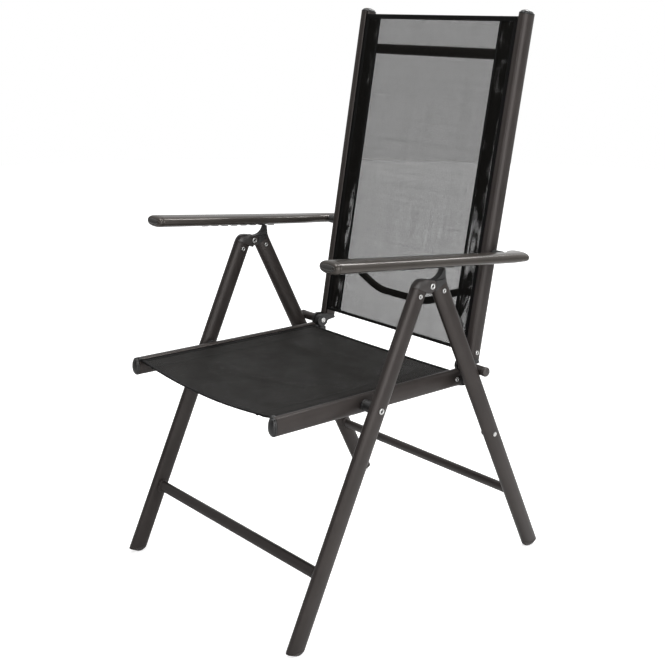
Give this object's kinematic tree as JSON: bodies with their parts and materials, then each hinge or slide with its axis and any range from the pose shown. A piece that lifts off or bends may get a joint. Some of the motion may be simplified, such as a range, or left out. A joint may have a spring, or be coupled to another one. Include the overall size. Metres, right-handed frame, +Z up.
{
  "type": "folding sling patio chair",
  "caption": "Folding high-back patio armchair: oval tube legs crossed at an apex, slung seat and reclining slung back, notched armrests resting on horns.",
  "frame": {"origin": "middle of the bounding box at floor level", "axes": "+Z up, +X to the chair's right-hand side seen from the front, the sitter faces -Y"},
  "size_m": [0.558, 0.687, 1.0811],
  "materials": {
    "front_leg_left": "anthracite powder coat on aluminium tube, satin",
    "front_leg_right": "anthracite powder coat on aluminium tube, satin",
    "front_foot_left": "black moulded plastic, fine grain",
    "front_foot_right": "black moulded plastic, fine grain",
    "front_knuckle_left": "black moulded plastic, fine grain",
    "front_knuckle_right": "black moulded plastic, fine grain",
    "apex_pin_left": "bright zinc-plated steel",
    "apex_pin_right": "bright zinc-plated steel",
    "front_knuckle_rivet_left": "bright zinc-plated steel",
    "front_knuckle_rivet_right": "bright zinc-plated steel",
    "seat_pivot_bolt_left": "bright zinc-plated steel",
    "seat_pivot_bolt_right": "bright zinc-plated steel",
    "seat_pivot_spacer_left": "black moulded plastic, fine grain",
    "seat_pivot_spacer_right": "black moulded plastic, fine grain",
    "front_crossbar": "anthracite powder coat on aluminium tube, satin",
    "rear_leg_left": "anthracite powder coat on aluminium tube, satin",
    "rear_leg_right": "anthracite powder coat on aluminium tube, satin",
    "rear_foot_left": "black moulded plastic, fine grain",
    "rear_foot_right": "black moulded plastic, fine grain",
    "horn_knuckle_left": "black moulded plastic, fine grain",
    "horn_knuckle_right": "black moulded plastic, fine grain",
    "rear_knuckle_rivet_left": "bright zinc-plated steel",
    "rear_knuckle_rivet_right": "bright zinc-plated steel",
    "link_rivet_left": "bright zinc-plated steel",
    "link_rivet_right": "bright zinc-plated steel",
    "rear_crossbar": "anthracite powder coat on aluminium tube, satin",
    "seat_rail_left": "anthracite powder coat on aluminium tube, satin",
    "seat_rail_right": "anthracite powder coat on aluminium tube, satin",
    "seat_front_cap_left": "black moulded plastic, fine grain",
    "seat_front_cap_right": "black moulded plastic, fine grain",
    "seat_hinge_block_left": "black moulded plastic, fine grain",
    "seat_hinge_block_right": "black moulded plastic, fine grain",
    "rail_rivet_left": "bright zinc-plated steel",
    "rail_rivet_right": "bright zinc-plated steel",
    "seat_spreader_front": "anthracite powder coat on aluminium tube, satin",
    "seat_spreader_rear": "anthracite powder coat on aluminium tube, satin",
    "seat_sling": "plain-weave coated mesh, matt",
    "rear_link_left": "anthracite powder coat on steel, satin",
    "rear_link_right": "anthracite powder coat on steel, satin",
    "stop_rod_left": "anthracite powder coat on steel, satin",
    "stop_rod_right": "anthracite powder coat on steel, satin",
    "back_lug_left": "black moulded plastic, fine grain",
    "back_lug_right": "black moulded plastic, fine grain",
    "back_lug_rivet_left": "bright zinc-plated steel",
    "back_lug_rivet_right": "bright zinc-plated steel",
    "back_tube_left": "anthracite powder coat on aluminium tube, satin",
    "back_tube_right": "anthracite powder coat on aluminium tube, satin",
    "back_cap_left": "black moulded plastic, fine grain",
    "back_cap_right": "black moulded plastic, fine grain",
    "headrest_bar": "anthracite powder coat on aluminium tube, satin",
    "lumbar_bow_bar": "anthracite powder coat on aluminium tube, satin",
    "back_sling": "open plain-weave mesh, light passes through it",
    "arm_pivot_bolt_left": "black moulded plastic, fine grain",
    "arm_pivot_bolt_right": "black moulded plastic, fine grain",
    "armrest_left": "anthracite powder coat, smoother satin",
    "armrest_front_cap_left": "black moulded plastic, fine grain",
    "armrest_rack_left": "black moulded plastic, fine grain",
    "armrest_right": "anthracite powder coat, smoother satin",
    "armrest_front_cap_right": "black moulded plastic, fine grain",
    "armrest_rack_right": "black moulded plastic, fine grain"
  },
  "bodies": {
    "front_frame": {"front_leg_left": "front_leg_left", "front_leg_right": "front_leg_right", "front_foot_left": "front_foot_left", "front_foot_right": "front_foot_right", "front_knuckle_left": "front_knuckle_left", "front_knuckle_right": "front_knuckle_right", "apex_pin_left": "apex_pin_left", "apex_pin_right": "apex_pin_right", "front_knuckle_rivet_left": "front_knuckle_rivet_left", "front_knuckle_rivet_right": "front_knuckle_rivet_right", "seat_pivot_bolt_left": "seat_pivot_bolt_left", "seat_pivot_bolt_right": "seat_pivot_bolt_right", "seat_pivot_spacer_left": "seat_pivot_spacer_left", "seat_pivot_spacer_right": "seat_pivot_spacer_right", "front_crossbar": "front_crossbar"},
    "rear_legs": {"rear_leg_left": "rear_leg_left", "rear_leg_right": "rear_leg_right", "rear_foot_left": "rear_foot_left", "rear_foot_right": "rear_foot_right", "horn_knuckle_left": "horn_knuckle_left", "horn_knuckle_right": "horn_knuckle_right", "rear_knuckle_rivet_left": "rear_knuckle_rivet_left", "rear_knuckle_rivet_right": "rear_knuckle_rivet_right", "link_rivet_left": "link_rivet_left", "link_rivet_right": "link_rivet_right", "rear_crossbar": "rear_crossbar"},
    "seat": {"seat_rail_left": "seat_rail_left", "seat_rail_right": "seat_rail_right", "seat_front_cap_left": "seat_front_cap_left", "seat_front_cap_right": "seat_front_cap_right", "seat_hinge_block_left": "seat_hinge_block_left", "seat_hinge_block_right": "seat_hinge_block_right", "rail_rivet_left": "rail_rivet_left", "rail_rivet_right": "rail_rivet_right", "seat_spreader_front": "seat_spreader_front", "seat_spreader_rear": "seat_spreader_rear", "seat_sling": "seat_sling"},
    "rear_link_left": {"rear_link_left": "rear_link_left"},
    "rear_link_right": {"rear_link_right": "rear_link_right"},
    "hinge_axles": {"stop_rod_left": "stop_rod_left", "stop_rod_right": "stop_rod_right"},
    "back": {"back_lug_left": "back_lug_left", "back_lug_right": "back_lug_right", "back_lug_rivet_left": "back_lug_rivet_left", "back_lug_rivet_right": "back_lug_rivet_right", "back_tube_left": "back_tube_left", "back_tube_right": "back_tube_right", "back_cap_left": "back_cap_left", "back_cap_right": "back_cap_right", "headrest_bar": "headrest_bar", "lumbar_bow_bar": "lumbar_bow_bar", "back_sling": "back_sling"},
    "arm_bolt_left": {"arm_pivot_bolt_left": "arm_pivot_bolt_left"},
    "arm_bolt_right": {"arm_pivot_bolt_right": "arm_pivot_bolt_right"},
    "armrest_left": {"armrest_left": "armrest_left", "armrest_front_cap_left": "armrest_front_cap_left", "armrest_rack_left": "armrest_rack_left"},
    "armrest_right": {"armrest_right": "armrest_right", "armrest_front_cap_right": "armrest_front_cap_right", "armrest_rack_right": "armrest_rack_right"}
  },
  "joints": [
    {"name": "fold", "type": "hinge", "parent": "front_frame", "child": "seat", "pos_m": [0, -0.13222, 0.41044], "axis": [-1, 0, 0], "range_deg": [0, 100]},
    {"name": "rear_legs_close", "type": "hinge", "parent": "front_frame", "child": "rear_legs", "pos_m": [0, -0.01366, 0.615], "axis": [-1, 0, 0], "range_deg": [0, 51.01]},
    {"name": "link_turn_left", "type": "hinge", "parent": "seat", "child": "rear_link_left", "pos_m": [-0.24, 0.13584, 0.40123], "axis": [-1, 0, 0], "range_deg": [0, 119.1]},
    {"name": "link_turn_right", "type": "hinge", "parent": "seat", "child": "rear_link_right", "pos_m": [0.24, 0.13584, 0.40123], "axis": [-1, 0, 0], "range_deg": [0, 119.1]},
    {"name": "hinge_turn", "type": "hinge", "parent": "seat", "child": "hinge_axles", "pos_m": [0, 0.13771, 0.42465], "axis": [-1, 0, 0], "range_deg": [-77.31, 0]},
    {"name": "recline", "type": "hinge", "parent": "hinge_axles", "child": "back", "pos_m": [0, 0.13771, 0.42465], "axis": [-1, 0, 0], "range_deg": [0, 42]},
    {"name": "arm_raise_left", "type": "hinge", "parent": "back", "child": "arm_bolt_left", "pos_m": [-0.255, 0.19654, 0.63602], "axis": [-1, 0, 0], "range_deg": [0, 120.01]},
    {"name": "arm_raise_right", "type": "hinge", "parent": "back", "child": "arm_bolt_right", "pos_m": [0.255, 0.19654, 0.63602], "axis": [-1, 0, 0], "range_deg": [0, 120.01]},
    {"name": "arm_level_left", "type": "hinge", "parent": "arm_bolt_left", "child": "armrest_left", "pos_m": [-0.255, 0.19654, 0.63602], "axis": [-1, 0, 0], "range_deg": [-27.52, 0]},
    {"name": "arm_level_right", "type": "hinge", "parent": "arm_bolt_right", "child": "armrest_right", "pos_m": [0.255, 0.19654, 0.63602], "axis": [-1, 0, 0], "range_deg": [-27.52, 0]}
  ],
  "couplings": [
    {"joint": "rear_legs_close", "follows": "fold", "ratio": 0.51},
    {"joint": "link_turn_left", "follows": "fold", "ratio": 1.1908},
    {"joint": "link_turn_right", "follows": "fold", "ratio": 1.1908},
    {"joint": "hinge_turn", "follows": "fold", "ratio": -0.773},
    {"joint": "arm_raise_left", "follows": "fold", "ratio": 1.2},
    {"joint": "arm_raise_right", "follows": "fold", "ratio": 1.2},
    {"joint": "arm_level_left", "follows": "recline", "ratio": -0.655},
    {"joint": "arm_level_right", "follows": "recline", "ratio": -0.655}
  ]
}
